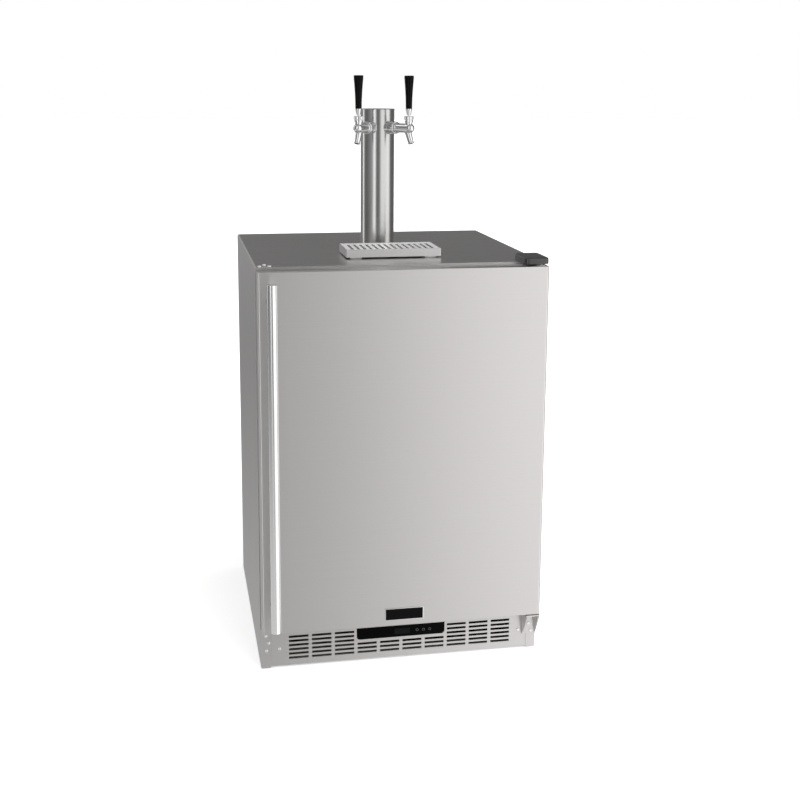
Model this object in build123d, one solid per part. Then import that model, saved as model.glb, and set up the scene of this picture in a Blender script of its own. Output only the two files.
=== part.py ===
"""Undercounter beer dispenser: a 24 inch cabinet with one door, a two-tap tower and a drip tray.

Millimetres. +Z is up, -Y is the front and +X is the right as one faces the door. The origin is on the
floor, below the middle of the whole machine's outline.
"""
import math
import os

from build123d import *

# ---------------------------------------------------------------- driving dimensions
WIDTH = 608.0            # 23 15/16 in, over the side panels
HEIGHT = 867.0           # 34 1/8 in, to the top panel with the feet screwed in
DEPTH = 609.0            # from the door's face to the back panel
HANDLE_REACH = 55.0      # from the door's face to the front of the handle
DOOR_THICK = 42.0
CABINET_FRONT = 48.0     # from the door's face to the cabinet's front flange
SHEET = 1.0              # stainless and galvanised sheet
LINER_WALL = 2.5
WALL = 50.0              # side wall: sheet, foam and liner
CAVITY_FLOOR = 125.0
CAVITY_TOP = 822.0
CAVITY_BACK = 564.0      # from the door's face
HUMP_FRONT = 352.0       # the step over the compressor, from the door's face
HUMP_TOP = 300.0
HUMP_WALL = 43.0         # sheet, foam and liner of the step
DOOR_BOTTOM = 93.0
DOOR_TOP = 863.0
GRILLE_SETBACK = 35.0    # from the door's face
TOWER_SETBACK = 350.0    # tower axis, from the door's face
TOWER_TOP = 1178.0
COLUMN_R = 38.1          # 3 in column
TAP_SPREAD = 35.0        # each tap is turned this far from straight ahead
TAP_AXIS_Z = 1137.0
LEVER_OUT = 98.0         # lever, from the tower's axis
FLOOR_GAP = 1.5          # under the side panels

SCREW_PROUD = 1.6        # screw heads on the back panel
LEFT, RIGHT = -1, 1
LIVE_FIT = 0.05          # radial clearance of a pin or shaft that turns or slides

# the door's face in Y, so that the outline is centred on the origin
FACE = -(DEPTH + SCREW_PROUD - HANDLE_REACH) / 2
FRONT = FACE + CABINET_FRONT
BACK = FACE + DEPTH
SIDE = WIDTH / 2
INSIDE = SIDE - WALL
TOWER_Y = FACE + TOWER_SETBACK
GRILLE_Y = FACE + GRILLE_SETBACK

os.makedirs("parts", exist_ok=True)


# ---------------------------------------------------------------- small helpers
def block(x0, x1, y0, y1, z0, z1):
    """A box between two corners."""
    centre = ((x0 + x1) / 2, (y0 + y1) / 2, (z0 + z1) / 2)
    return Pos(*centre) * Box(x1 - x0, y1 - y0, z1 - z0)


def rod(start, end, radius):
    """A cylinder from one point to another."""
    start, end = Vector(*start), Vector(*end)
    along = end - start
    return Solid.make_cylinder(radius, along.length, Plane(origin=start, z_dir=along))


def taper(start, end, r_start, r_end):
    """A cone frustum from one point to another."""
    start, end = Vector(*start), Vector(*end)
    along = end - start
    return Solid.make_cone(r_start, r_end, along.length, Plane(origin=start, z_dir=along))


def ball(centre, radius):
    return Pos(*centre) * Sphere(radius)


def join(shapes):
    """One shape from several that touch."""
    shapes = list(shapes)
    return shapes[0].fuse(*shapes[1:]) if len(shapes) > 1 else shapes[0]


def apart(shapes):
    """Several separate solids kept as one node."""
    return Compound(children=[s for shape in shapes for s in shape.solids()])


def save(name, shape):
    export_step(shape, f"parts/{name}.step")


def screw_head(x, y, z, radius=3.6, proud=SCREW_PROUD, shank=8.0, towards=(0, -1, 0), drive=1.7):
    """A pan-head screw. The point is on the clamped face; the head stands towards the given side."""
    out = Vector(*towards)
    point = Vector(x, y, z)
    head = rod(point, point + out * proud, radius)
    rim = head.edges().filter_by(GeomType.CIRCLE).sort_by(lambda e: (e.center() - point).dot(out))[-1]
    head = fillet(rim, proud * 0.55)
    stem = rod(point - out * shank, point, radius * 0.52)
    socket = rod(point + out * (proud * 0.45), point + out * (proud + 1), drive)
    return join([head, stem]) - socket


# ---------------------------------------------------------------- cabinet shell
LINE_HOLE_R = 20.0
TOP_SCREW_HOLE_R = 2.3
TOP_SCREW_PLACES = [(SIDE - 30, FRONT + 7), (SIDE - 21, FRONT + 26), (SIDE - 10, FRONT + 7)]
TOWER_BOLT_HOLE_R = 3.3
TOWER_BOLT_RING = 28.0
TOWER_BOLT_PLACES = [
    (TOWER_BOLT_RING * math.cos(a), TOWER_Y + TOWER_BOLT_RING * math.sin(a))
    for a in (math.pi / 4 + i * math.pi / 2 for i in range(4))
]


def cabinet_wrap():
    """Stainless sheet bent over the top and down both sides, with a hole for the tower's lines."""
    bend = 4.0
    outer = block(-SIDE, SIDE, FRONT, BACK - SHEET, FLOOR_GAP, HEIGHT)
    outer = fillet(outer.edges().filter_by(Axis.Y).group_by(Axis.Z)[-1], bend)
    inner = block(-SIDE + SHEET, SIDE - SHEET, FRONT - 1, BACK, FLOOR_GAP - 1, HEIGHT - SHEET)
    inner = fillet(inner.edges().filter_by(Axis.Y).group_by(Axis.Z)[-1], bend - SHEET)
    wrap = outer - inner
    for x, y in TOP_SCREW_PLACES:
        wrap -= rod((x, y, HEIGHT - 5), (x, y, HEIGHT + 1), TOP_SCREW_HOLE_R)
        wrap -= rod((-x, y, HEIGHT - 5), (-x, y, HEIGHT + 1), TOP_SCREW_HOLE_R)
    for x, y in TOWER_BOLT_PLACES:
        wrap -= rod((x, y, HEIGHT - 5), (x, y, HEIGHT + 1), TOWER_BOLT_HOLE_R)
    return wrap - rod((0, TOWER_Y, HEIGHT - 5), (0, TOWER_Y, HEIGHT + 1), LINE_HOLE_R)


def liner_space(grow):
    """The cavity with its step over the compressor, grown outwards by a wall."""
    room = block(-INSIDE - grow, INSIDE + grow, FRONT - 1, FACE + CAVITY_BACK + grow,
                 CAVITY_FLOOR - grow, CAVITY_TOP + grow)
    step = block(-INSIDE - 20, INSIDE + 20, FACE + HUMP_FRONT + grow, FACE + CAVITY_BACK + 60,
                 CAVITY_FLOOR - 60, HUMP_TOP - grow)
    return room - step


LINE_R = 4.8             # 3/8 in line
LINE_X = 60.0            # where each line runs up the back wall
LINE_OFF_WALL = 14.0
CLIP_HEIGHTS = (560.0, 700.0)


def inner_liner():
    """Moulded liner with a front flange that the gasket seals on, and line clips on the back wall."""
    edge = 1.2
    room = liner_space(0)
    room = fillet(room.edges().filter_by(Axis.Y).group_by(Axis.X)[0], 12)
    room = fillet(room.edges().filter_by(Axis.Y).group_by(Axis.X)[-1], 12)
    shell = liner_space(LINER_WALL) - block(-SIDE, SIDE, FRONT - 5, FRONT, 0, HEIGHT)
    flange = block(-SIDE + SHEET + 0.2, SIDE - SHEET - 0.2, FRONT, FRONT + 2,
                   DOOR_BOTTOM - 1, HEIGHT - SHEET - edge)
    flange = fillet(flange.edges().filter_by(Axis.Y).group_by(Axis.Z)[-1], 3.0)
    liner = join([shell, flange]) - room
    wall_y = FACE + CAVITY_BACK
    clips = []
    for x in (-LINE_X, LINE_X):
        for z in CLIP_HEIGHTS:
            arm = block(x - 9, x + 9, wall_y - LINE_OFF_WALL - 6, wall_y + 1, z - 6, z + 6)
            clips.append(arm - rod((x, wall_y - LINE_OFF_WALL, z - 9), (x, wall_y - LINE_OFF_WALL, z + 9),
                                   LINE_R + 0.3))
    liner = join([liner, *clips])
    for x, y in TOWER_BOLT_PLACES:
        liner -= rod((x, y, CAVITY_TOP - 5), (x, y, CAVITY_TOP + 9), TOWER_BOLT_HOLE_R)
    return liner - rod((0, TOWER_Y, CAVITY_TOP - 5), (0, TOWER_Y, CAVITY_TOP + 9), LINE_HOLE_R)


def cabinet_foam():
    """Rigid foam that fills the walls between the wrap, the back panel and the liner."""
    gap = 0.2
    fill = block(-SIDE + SHEET + gap, SIDE - SHEET - gap, FRONT + 2 + gap, BACK - SHEET - gap,
                 DOOR_BOTTOM - 1, HEIGHT - SHEET - gap)
    fill = fillet(fill.edges().filter_by(Axis.Y).group_by(Axis.Z)[-1], 3.0)
    fill -= liner_space(LINER_WALL + gap)
    fill -= block(-SIDE, SIDE, FACE + HUMP_FRONT + HUMP_WALL, BACK, 0, HUMP_TOP - HUMP_WALL)
    for x, y in TOP_SCREW_PLACES:
        fill -= rod((x, y, HEIGHT - 20), (x, y, HEIGHT + 1), TOP_SCREW_HOLE_R + 0.5)
        fill -= rod((-x, y, HEIGHT - 20), (-x, y, HEIGHT + 1), TOP_SCREW_HOLE_R + 0.5)
    for x, y in TOWER_BOLT_PLACES:
        fill -= rod((x, y, CAVITY_TOP - 5), (x, y, HEIGHT + 1), TOWER_BOLT_HOLE_R)
    return fill - rod((0, TOWER_Y, CAVITY_TOP - 5), (0, TOWER_Y, HEIGHT + 1), LINE_HOLE_R)


BACK_SCREW_PLACES = [(s * (SIDE - 14), z) for s in (LEFT, RIGHT) for z in (60, 330, 600, 845)]
GLAND_X, GLAND_Z = 190.0, 68.0
GLAND_HOLE_R = 9.0


def back_panel():
    """Galvanised sheet with louvre slots over the compressor, screw holes and a hole for the lead."""
    panel = block(-SIDE + SHEET + 0.2, SIDE - SHEET - 0.2, BACK - SHEET, BACK, FLOOR_GAP + 2,
                  HEIGHT - SHEET - 0.2)
    slot_long, slot_high, pitch = 70.0, 5.0, 14.0
    for column in (-180.0, -90.0, 0.0, 90.0):
        for row in range(9):
            z = 78.0 + row * pitch
            panel -= block(column - slot_long / 2, column + slot_long / 2, BACK - 3, BACK + 1,
                           z, z + slot_high)
    for x, z in BACK_SCREW_PLACES:
        panel -= rod((x, BACK - 3, z), (x, BACK + 1, z), 1.9)
    return panel - rod((GLAND_X, BACK - 3, GLAND_Z), (GLAND_X, BACK + 1, GLAND_Z), GLAND_HOLE_R)


def cord_gland():
    """Snap-in bush that lines the hole where the mains lead leaves the back panel."""
    inside = rod((GLAND_X, BACK - 9, GLAND_Z), (GLAND_X, BACK - SHEET, GLAND_Z), GLAND_HOLE_R + 1.5)
    through = rod((GLAND_X, BACK - SHEET, GLAND_Z), (GLAND_X, BACK, GLAND_Z), GLAND_HOLE_R - 0.05)
    return join([inside, through]) - rod((GLAND_X, BACK - 12, GLAND_Z), (GLAND_X, BACK + 2, GLAND_Z), 4.2)


# ---------------------------------------------------------------- base
FOOT_PLACES = {
    "front_left": (-268.0, FACE + 78.0),
    "front_right": (268.0, FACE + 78.0),
    "rear_left": (-268.0, FACE + 574.0),
    "rear_right": (268.0, FACE + 574.0),
}
PAN_Z = 12.0
FOOT_STUD_R = 5.0


def base_pan():
    """Galvanised tray that carries the compressor and the four feet in weld nuts."""
    x, y0, y1 = SIDE - SHEET - 3, GRILLE_Y + 14, BACK - SHEET - 3
    plate = block(-x, x, y0, y1, PAN_Z, PAN_Z + 1.5)
    rails = [block(-x, -x + 1.5, y0, y1, PAN_Z, PAN_Z + 40), block(x - 1.5, x, y0, y1, PAN_Z, PAN_Z + 40)]
    rear = block(-x, x, y1 - 1.5, y1, PAN_Z, PAN_Z + 40)
    nuts = [extrude(Plane((*place, PAN_Z)) * RegularPolygon(11, 6), 12) for place in FOOT_PLACES.values()]
    pan = join([plate, *rails, rear, *nuts])
    for place in FOOT_PLACES.values():
        pan -= rod((*place, 0), (*place, 60), FOOT_STUD_R + LIVE_FIT)
    return pan


def levelling_foot(place):
    """Round foot on a threaded stud; the hexagon takes a spanner."""
    pad = rod((*place, 0), (*place, 4.5), 17)
    pad = chamfer(pad.edges().filter_by(GeomType.CIRCLE), 1)
    hexagon = extrude(Plane((*place, 4.0)) * RegularPolygon(9, 6), 5.0)
    stud = rod((*place, 4.0), (*place, 58), FOOT_STUD_R)
    stud = chamfer(stud.edges().filter_by(GeomType.CIRCLE).sort_by(Axis.Z)[-1], 1)
    return join([pad, hexagon, stud])


POST_WIDE = 20.8
LIP_TOP = 90.5
POST_SCREW_PLACES = [(SIDE - 10.6, 75.0), (SIDE - 16.5, 58.5), (SIDE - 11.2, 41.0)]
GRILLE_SCREW_X, GRILLE_SCREW_Z = 265.0, 43.5


def corner_posts():
    """Two angle posts that close the base's front corners and carry the hinge bracket."""
    posts = []
    for side in (LEFT, RIGHT):
        edge = side * (SIDE - 0.4)
        face = block(*sorted((edge, edge - side * POST_WIDE)), GRILLE_Y, GRILLE_Y + 2, FLOOR_GAP, LIP_TOP)
        return_leg = block(*sorted((edge, edge - side * 2)), GRILLE_Y, FRONT - 0.2, FLOOR_GAP, LIP_TOP)
        inner = edge - side * 1.4
        tail = block(*sorted((inner, inner - side * 1.6)), FRONT - 6, FRONT + 22, FLOOR_GAP + 1, LIP_TOP)
        post = join([face, return_leg, tail])
        for x, z in POST_SCREW_PLACES:
            post -= rod((side * x, GRILLE_Y - 2, z), (side * x, GRILLE_Y + 6, z), 2.1)
        posts.append(post)
    return apart(posts)


SLOT_LONG, SLOT_HIGH = 42.4, 5.0
SLOT_PITCH_X, SLOT_PITCH_Z = 49.6, 9.6
SLOT_ROWS, SLOT_COLUMNS = 6, 10
SLOT_FIRST_Z = 18.2
PANEL_HALF, PANEL_Z0, PANEL_Z1 = 97.0, 49.6, 75.2
PANEL_CORNER = 7.0


def panel_outline(grow):
    """The control panel's outline: square above and rounded below."""
    x, z0, z1, r = PANEL_HALF + grow, PANEL_Z0 - grow, PANEL_Z1 + grow, PANEL_CORNER + grow
    plane = Plane(origin=(0, 0, 0), x_dir=(1, 0, 0), z_dir=(0, -1, 0))
    shape = Pos(0, (z0 + z1) / 2) * Rectangle(2 * x, z1 - z0)
    lower = shape.vertices().group_by(Axis.Y)[0]
    return plane * fillet(lower, r)


def front_grille():
    """Stainless toe grille: six rows of air slots, with the control panel's window in the middle."""
    half = SIDE - 0.4 - POST_WIDE - 0.3
    plate = block(-half, half, GRILLE_Y + 0.4, GRILLE_Y + 1.6, FLOOR_GAP + 3, LIP_TOP)
    lip = block(-half, half, GRILLE_Y + 0.4, FRONT - 0.2, LIP_TOP - 1.2, LIP_TOP)
    foot = block(-half, half, GRILLE_Y + 0.4, GRILLE_Y + 12, FLOOR_GAP + 3, FLOOR_GAP + 4.2)
    grille = join([plate, lip, foot])
    first = -(SLOT_COLUMNS - 1) / 2 * SLOT_PITCH_X
    slots = []
    for column in range(SLOT_COLUMNS):
        x = first + column * SLOT_PITCH_X
        rows = SLOT_ROWS // 2 if abs(x) < PANEL_HALF else SLOT_ROWS
        for row in range(rows):
            z = SLOT_FIRST_Z + row * SLOT_PITCH_Z
            slots.append(block(x - SLOT_LONG / 2, x + SLOT_LONG / 2, GRILLE_Y - 1, GRILLE_Y + 4,
                               z, z + SLOT_HIGH))
    grille -= slots
    grille -= Pos(0, GRILLE_Y + 4, 0) * extrude(panel_outline(0.3), 6)
    for side in (LEFT, RIGHT):
        x, z = side * GRILLE_SCREW_X, GRILLE_SCREW_Z
        grille -= rod((x, GRILLE_Y - 1, z), (x, GRILLE_Y + 5, z), 2.1)
    return grille


def control_panel():
    """Black touch panel: a lens in the grille's window and the board's housing behind it."""
    lens = Pos(0, GRILLE_Y + 2.2, 0) * extrude(panel_outline(0), 2.6)
    housing = block(-PANEL_HALF + 6, PANEL_HALF - 6, GRILLE_Y + 2.2, GRILLE_Y + 13,
                    PANEL_Z0 + 3, PANEL_Z1 - 2)
    return join([lens, housing])


# ---------------------------------------------------------------- cooling machine
COMPRESSOR_PLACE = (150.0, FACE + 500.0)
FAN_PLACE = (-70.0, 98.0)
FAN_Y = FACE + 425.0
FAN_R = 58.0


def compressor():
    """Hermetic pot on a foot plate, with its terminal box and pipe stubs."""
    x, y = COMPRESSOR_PLACE
    z = PAN_Z + 1.5
    plate = block(x - 75, x + 75, y - 60, y + 60, z + 10, z + 12.5)
    grommets = [rod((x + dx, y + dy, z + 0.1), (x + dx, y + dy, z + 12), 11)
                for dx in (-60, 60) for dy in (-46, 46)]
    pot = rod((x, y, z + 12), (x, y, z + 150), 62)
    pot = fillet(pot.edges().filter_by(GeomType.CIRCLE), 26)
    seam = rod((x, y, z + 76), (x, y, z + 82), 65)
    box = block(x - 96, x - 55, y - 24, y + 24, z + 52, z + 104)
    stubs = [rod((x + 40, y + dy, z + 100), (x + 40, y + dy, z + 172), 4) for dy in (-20, 20)]
    return join([plate, *grommets, pot, seam, box, *stubs])


def condenser_coil():
    """Fin and tube block behind the right half of the grille."""
    x0, x1, y0, y1, z0, z1 = 20.0, 240.0, FACE + 70, FACE + 150, 18.0, 82.0
    fins = [block(x, x + 1.2, y0, y1, z0, z1) for x in (x0 + i * 10 for i in range(23))]
    tubes = [rod((x0 - 6, y, z), (x1 + 8, y, z), 4) for y in (y0 + 20, y0 + 60) for z in (30, 50, 70)]
    bends = [block(x0 - 10, x0 - 5, y - 4, y + 4, 26, 74) for y in (y0 + 20, y0 + 60)]
    rails = [block(x0, x1 + 1.2, y0 + 2, y1 - 2, z0 - 3, z0 + 1)]
    return join([*fins, *tubes, *bends, *rails])


def fan_shroud():
    """Orifice plate with the fan's motor held on a cross bar behind it."""
    x, z = FAN_PLACE
    plate = block(x - 78, x + 78, FAN_Y - 14, FAN_Y - 12.5, PAN_Z + 1.6, z + 76)
    plate -= rod((x, FAN_Y - 20, z), (x, FAN_Y, z), FAN_R + 4)
    sides = [block(x + s * 78 - 0.8, x + s * 78 + 0.8, FAN_Y - 14, FAN_Y + 42, PAN_Z + 1.6, z + 76)
             for s in (-1, 1)]
    bar = block(x - 78, x + 78, FAN_Y + 30, FAN_Y + 33, z - 12, z + 12)
    motor = rod((x, FAN_Y + 14, z), (x, FAN_Y + 44, z), 24)
    shaft = rod((x, FAN_Y - 8, z), (x, FAN_Y + 16, z), 2.5)
    return join([plate, *sides, bar, motor, shaft])


def condenser_fan():
    """Five pitched blades on a hub."""
    x, z = FAN_PLACE
    hub = rod((0, -9, 0), (0, 10, 0), 15)
    blades = []
    for i in range(5):
        blade = Pos(0, 0, 35) * Rot(0, 0, 32) * Box(30, 1.6, 46)
        blades.append(Rot(0, 72 * i, 0) * blade)
    swept = rod((0, -9, 0), (0, 10, 0), FAN_R)
    fan = join([hub, *blades]) & swept
    fan -= rod((0, -12, 0), (0, 12, 0), 2.5 + LIVE_FIT)
    return Pos(x, FAN_Y, z) * fan


def cold_plate():
    """Roll-bonded evaporator on the cavity's back wall, with its channel standing proud."""
    y = FACE + CAVITY_BACK - 4
    half, z0, z1 = 225.0, 350.0, 790.0
    plate = block(-half, half, y, y + 1.6, z0, z1)
    for x in (-LINE_X, LINE_X):
        for z in CLIP_HEIGHTS:
            plate -= block(x - 11, x + 11, y - 2, y + 3, z - 8, z + 8)
    rows = []
    for i in range(6):
        z = z0 + 40 + i * 70
        for x0, x1 in ((-half + 18, -LINE_X - 16), (LINE_X + 16, half - 18)):
            rows.append(block(x0, x1, y - 3, y + 0.5, z - 5, z + 5))
    for i in range(5):
        z = z0 + 40 + i * 70
        x = half - 23 if i % 2 else LINE_X + 21
        for side in (LEFT, RIGHT):
            rows.append(block(*sorted((side * (x - 5), side * (x + 5))), y - 3, y + 0.5, z - 5, z + 75))
    studs = [rod((x, y, z), (x, y + 4, z), 4) for x in (-190, 190) for z in (z0 + 20, z1 - 20)]
    return join([plate, *rows, *studs])


# ---------------------------------------------------------------- hinges and fasteners
HINGE_X = 289.0
HINGE_Y = FACE + 20.0
PIN_R = 4.0


def lower_hinge_bracket():
    """Pressed bracket under the door: a shelf with two gussets, a screwed back plate and a staked pin."""
    x0, x1 = SIDE - 31, SIDE - 0.6
    y1 = GRILLE_Y - 0.2
    thick = 3.0
    shelf = block(x0, x1, FACE + 2, y1, DOOR_BOTTOM - 6, DOOR_BOTTOM - 3)
    outline = Polyline((FACE + 2, DOOR_BOTTOM - 5), (y1, DOOR_BOTTOM - 5), (y1, 38), (y1 - 4, 38), close=True)
    gusset = Plane(origin=(0, 0, 0), x_dir=(0, 1, 0), z_dir=(1, 0, 0)) * make_face(outline)
    gussets = [Pos(x, 0, 0) * extrude(gusset, thick) for x in (x0, x1 - thick)]
    plate = block(x0, x1, y1 - thick, y1, 34, DOOR_BOTTOM - 4)
    pin = rod((HINGE_X, HINGE_Y, DOOR_BOTTOM - 6), (HINGE_X, HINGE_Y, DOOR_BOTTOM + 19), PIN_R)
    bracket = join([shelf, *gussets, plate, pin])
    for x, z in POST_SCREW_PLACES:
        bracket -= rod((x, y1 - 5, z), (x, y1 + 2, z), 2.3)
    return bracket


def upper_hinge_plate():
    """Flat plate screwed to the top panel, with the door's upper pin staked in it."""
    plate = block(SIDE - 50, SIDE - 2, FACE + 8, FRONT + 38, HEIGHT, HEIGHT + 3)
    plate = fillet(plate.edges().filter_by(Axis.Z), 8)
    pin = rod((HINGE_X, HINGE_Y, DOOR_TOP - 19), (HINGE_X, HINGE_Y, HEIGHT + 3), PIN_R)
    hinge = join([plate, pin])
    for x, y in TOP_SCREW_PLACES:
        hinge -= rod((x, y, HEIGHT - 1), (x, y, HEIGHT + 5), TOP_SCREW_HOLE_R)
    return hinge


def hinge_cover():
    """Black snap-on cap over the upper hinge."""
    top, wall = HEIGHT + 13.5, 1.6
    x0, x1, y0, y1 = SIDE - 52.5, SIDE - 0.1, FACE + 5.5, FRONT + 41
    cap = block(x0, x1, y0, y1, HEIGHT + 0.2, top)
    cap = fillet(cap.edges().filter_by(Axis.Z), 9)
    cap = fillet(cap.edges().group_by(Axis.Z)[-1], 4)
    hollow = block(x0 + wall, x1 - wall, y0 + wall, y1 - wall, HEIGHT - 1, top - wall)
    return cap - fillet(hollow.edges().filter_by(Axis.Z), 7.4)


def hinge_hole_plugs():
    """Domed plugs in the spare hinge holes at the left of the top panel."""
    plugs = []
    for x, y in TOP_SCREW_PLACES:
        head = rod((-x, y, HEIGHT), (-x, y, HEIGHT + 2.2), 4.2)
        head = fillet(head.edges().filter_by(GeomType.CIRCLE).sort_by(Axis.Z)[-1], 1.6)
        stem = rod((-x, y, HEIGHT - 6), (-x, y, HEIGHT), TOP_SCREW_HOLE_R - 0.05)
        plugs.append(join([head, stem]))
    return apart(plugs)


def cabinet_screws():
    """Every small screw of the cabinet: base posts, grille, hinges and back panel."""
    front = GRILLE_Y
    screws = []
    for x, z in POST_SCREW_PLACES:
        screws.append(screw_head(-x, front, z, radius=3.4, shank=7))
        screws.append(screw_head(x, front - 3.2, z, radius=3.4, shank=10))
    for side in (LEFT, RIGHT):
        screws.append(screw_head(side * GRILLE_SCREW_X, front + 0.4, GRILLE_SCREW_Z, shank=7))
    for x, y in TOP_SCREW_PLACES:
        screws.append(screw_head(x, y, HEIGHT + 3, radius=4.2, proud=2.2, shank=14, towards=(0, 0, 1)))
    for x, z in BACK_SCREW_PLACES:
        screws.append(screw_head(x, BACK, z, radius=3.4, shank=1.1, towards=(0, 1, 0)))
    return apart(screws)


# ---------------------------------------------------------------- tower and taps
def tap_place(side, shape):
    """Turns a tap part, drawn with its outward direction along +X, to its side of the tower."""
    return Pos(0, TOWER_Y, 0) * Rot(0, 0, -90 + side * TAP_SPREAD) * shape


SHANK_R = 9.0
CLEAR = 0.1


def tower_column():
    """Three inch stainless tube with a welded mounting ring inside its foot."""
    wall = 1.5
    z0, z1 = HEIGHT, TOWER_TOP - 3
    tube = rod((0, TOWER_Y, z0), (0, TOWER_Y, z1), COLUMN_R)
    tube -= rod((0, TOWER_Y, z0 - 1), (0, TOWER_Y, z1 + 1), COLUMN_R - wall)
    ring = rod((0, TOWER_Y, z0), (0, TOWER_Y, z0 + 8), COLUMN_R - wall + 0.5)
    ring -= rod((0, TOWER_Y, z0 - 1), (0, TOWER_Y, z0 + 9), LINE_HOLE_R)
    column = join([tube, ring])
    for x, y in TOWER_BOLT_PLACES:
        column -= rod((x, y, z0 - 1), (x, y, z0 + 9), 2.5 + CLEAR)
    for side in (LEFT, RIGHT):
        column -= tap_place(side, rod((20, 0, TAP_AXIS_Z), (50, 0, TAP_AXIS_Z), SHANK_R + CLEAR))
    return column


def tower_cap():
    """Pressed lid with a skirt that plugs the tube."""
    top = rod((0, TOWER_Y, TOWER_TOP - 3), (0, TOWER_Y, TOWER_TOP), COLUMN_R + 0.5)
    top = fillet(top.edges().filter_by(GeomType.CIRCLE).sort_by(Axis.Z)[-1], 1.6)
    skirt = rod((0, TOWER_Y, TOWER_TOP - 15), (0, TOWER_Y, TOWER_TOP - 3), COLUMN_R - 1.6)
    skirt -= rod((0, TOWER_Y, TOWER_TOP - 16), (0, TOWER_Y, TOWER_TOP - 3), COLUMN_R - 3.4)
    return join([top, skirt])


def tower_sleeve():
    """Foam sleeve that keeps the lines cold inside the column."""
    z0, z1 = HEIGHT + 10, TAP_AXIS_Z - 96
    sleeve = rod((0, TOWER_Y, z0), (0, TOWER_Y, z1), COLUMN_R - 1.8)
    return sleeve - rod((0, TOWER_Y, z0 - 1), (0, TOWER_Y, z1 + 1), 18)


def tower_bolts():
    """Four hexagon bolts that pull the tower down from inside the cavity."""
    bolts = []
    for x, y in TOWER_BOLT_PLACES:
        head = extrude(Plane((x, y, CAVITY_TOP - 5)) * RegularPolygon(4.6, 6), 4)
        washer = rod((x, y, CAVITY_TOP - 1), (x, y, CAVITY_TOP), 6)
        stem = rod((x, y, CAVITY_TOP - 1), (x, y, HEIGHT + 8), 2.5)
        bolts.append(join([head, washer, stem]))
    return apart(bolts)


BARREL_R = 10.5
BARREL_START = 54.2
BALL_UP = 20.0           # lever's ball, above the barrel's axis
BALL_R = 6.0
TIP_DOWN = 1.0           # lever's tip, below the barrel's axis


def shank(side):
    """Elbow shank through the column, its collar outside and its lock nut inside."""
    z = TAP_AXIS_Z
    tube = rod((18, 0, z), (BARREL_START - 0.2, 0, z), SHANK_R)
    elbow = rod((24, 0, z - 26), (24, 0, z), 4.6)
    barb = [taper((24, 0, z - 26 + i * 6), (24, 0, z - 20 + i * 6), 4.9, 4.2) for i in range(2)]
    bore = [rod((24, 0, z), (BARREL_START + 1, 0, z), 3.5), rod((24, 0, z - 30), (24, 0, z), 3.2)]
    return tap_place(side, join([tube, elbow, *barb]) - bore)


def shank_rings(side):
    """Tapered collar outside the column and lock nut inside it."""
    z = TAP_AXIS_Z
    nut = extrude(Plane(origin=(29, 0, z), z_dir=(1, 0, 0)) * RegularPolygon(12.5, 6), 5.2)
    nut -= rod((20, 0, z), (40, 0, z), SHANK_R + LIVE_FIT)
    collar = taper((30, 0, z), (45, 0, z), 17, 13)
    collar -= rod((0, 0, z - 30), (0, 0, z + 30), COLUMN_R + 0.02)
    collar -= rod((20, 0, z), (60, 0, z), SHANK_R + LIVE_FIT)
    return apart([tap_place(side, piece) for piece in (nut, collar)])


def coupling_nut(side):
    """Round nut with spanner holes that draws the tap onto its shank."""
    z = TAP_AXIS_Z
    nut = rod((45.6, 0, z), (60, 0, z), 14)
    nut = fillet(nut.edges().filter_by(GeomType.CIRCLE), 2.2)
    nut -= rod((40, 0, z), (50, 0, z), SHANK_R + LIVE_FIT)
    nut -= rod((50, 0, z), (62, 0, z), BARREL_R + LIVE_FIT)
    for i in range(6):
        a = math.radians(60 * i)
        way = (0, math.sin(a), math.cos(a))
        nut -= rod((52.6, way[1] * 11, z + way[2] * 11), (52.6, way[1] * 16, z + way[2] * 16), 2.0)
    return tap_place(side, nut)


def faucet_body(side):
    """Cast tap body: barrel with a domed nose, a threaded neck for the lever and a leaning spout."""
    z = TAP_AXIS_Z
    nose = 101.0
    barrel = rod((BARREL_START, 0, z), (nose, 0, z), BARREL_R)
    waist = rod((60, 0, z), (66, 0, z), BARREL_R + 1.4)
    waist = chamfer(waist.edges().filter_by(GeomType.CIRCLE), 1.3)
    dome = ball((nose, 0, z), BARREL_R)
    neck = rod((LEVER_OUT, 0, z), (LEVER_OUT, 0, z + BALL_UP), 8)
    mouth = Vector(105.8, 0, z - 33.5)
    root = Vector(94.2, 0, z - 4.5)
    down = (mouth - root).normalized()
    spout = taper(tuple(root), tuple(mouth), 7.6, 6.2)
    rim = rod(tuple(mouth - down * 2.6), tuple(mouth), 6.9)
    rim = fillet(rim.edges().filter_by(GeomType.CIRCLE), 0.9)
    body = join([barrel, waist, dome, neck, spout, rim])
    body -= rod((58, 0, z), (106, 0, z), 7.5)
    body -= rod((50, 0, z), (60, 0, z), 4)
    body -= rod(tuple(root), tuple(mouth + down * 3), 4.6)
    body -= block(LEVER_OUT - 8, LEVER_OUT + 2.4, -2.4, 2.4, z, z + 12)
    body -= rod((LEVER_OUT, 0, z + 11), (LEVER_OUT, 0, z + BALL_UP + 1), 5.9)
    body -= ball((LEVER_OUT, 0, z + BALL_UP), BALL_R + 0.12)
    return tap_place(side, body)


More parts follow.
